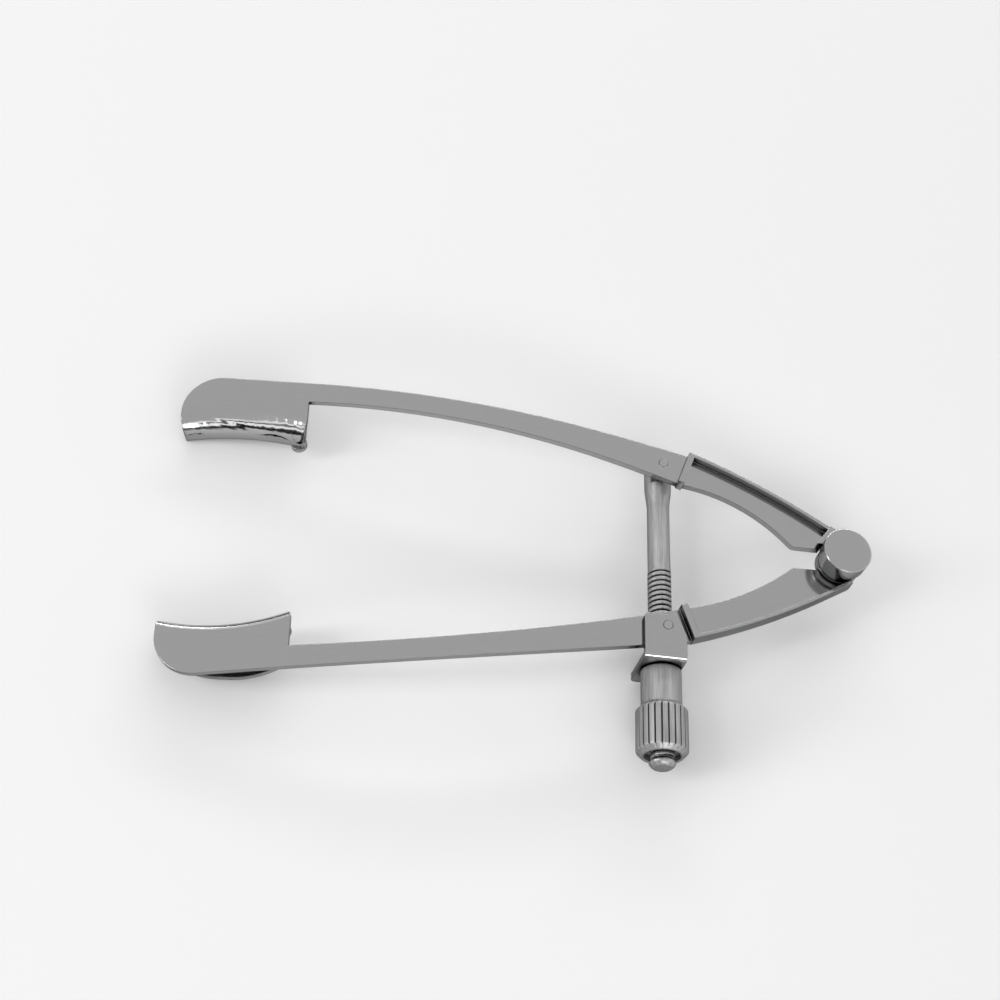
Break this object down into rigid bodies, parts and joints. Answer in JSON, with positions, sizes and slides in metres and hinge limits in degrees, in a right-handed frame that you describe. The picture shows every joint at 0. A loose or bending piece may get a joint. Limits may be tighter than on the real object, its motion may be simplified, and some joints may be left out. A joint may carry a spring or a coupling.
{
  "type": "eye speculum",
  "caption": "Hinged eye speculum with two solid lid blades; a thumb nut on a threaded cross screw sets and holds the spread.",
  "frame": {"origin": "on the hinge axis, at the flat underside of the hinge rivet's foot", "axes": "+Z along the hinge axis from the foot to the round cap, -X towards the lid blades, +Y towards the arm that carries the screw's pivot"},
  "size_m": [0.0758, 0.0434, 0.0144],
  "materials": {
    "polished_steel": "polished stainless steel",
    "satin_steel": "fine satin stainless steel, turned",
    "pin_steel": "peened and ground stainless steel"
  },
  "bodies": {
    "lower_arm": {"lower_arm": "polished_steel", "hinge_rivet": "polished_steel", "hinge_washer": "satin_steel", "bracket_pin": "pin_steel"},
    "upper_arm": {"upper_arm": "polished_steel", "screw_pin": "pin_steel"},
    "bracket": {"swivel_bracket": "polished_steel"},
    "screw": {"adjusting_screw": "satin_steel"},
    "nut": {"thumb_nut": "satin_steel", "nut_ring": "satin_steel"}
  },
  "joints": [
    {"name": "arm_hinge", "type": "hinge", "parent": "lower_arm", "child": "upper_arm", "pos_m": [0, 0, 0.0016], "axis": [0, 0, 1], "range_deg": [-2, 18]},
    {"name": "bracket_swivel", "type": "hinge", "parent": "lower_arm", "child": "bracket", "pos_m": [-0.01975, -0.0102, 0.0011], "axis": [0, 0, 1], "range_deg": [-1.2, 9.2]},
    {"name": "screw_slide", "type": "slide", "parent": "bracket", "child": "screw", "axis": [0, -1, 0], "range_m": [-0.0008, 0.0068]},
    {"name": "nut_turn", "type": "hinge", "parent": "bracket", "child": "nut", "pos_m": [-0.01975, -0.0141, -0.0015], "axis": [0, -1, 0], "range_deg": [-450, 4000]}
  ],
  "couplings": [
    {"joint": "bracket_swivel", "follows": "arm_hinge", "ratio": 0.5},
    {"joint": "screw_slide", "follows": "arm_hinge", "m_per_rad": 0.02039},
    {"joint": "nut_turn", "follows": "arm_hinge", "ratio": 213.5}
  ]
}
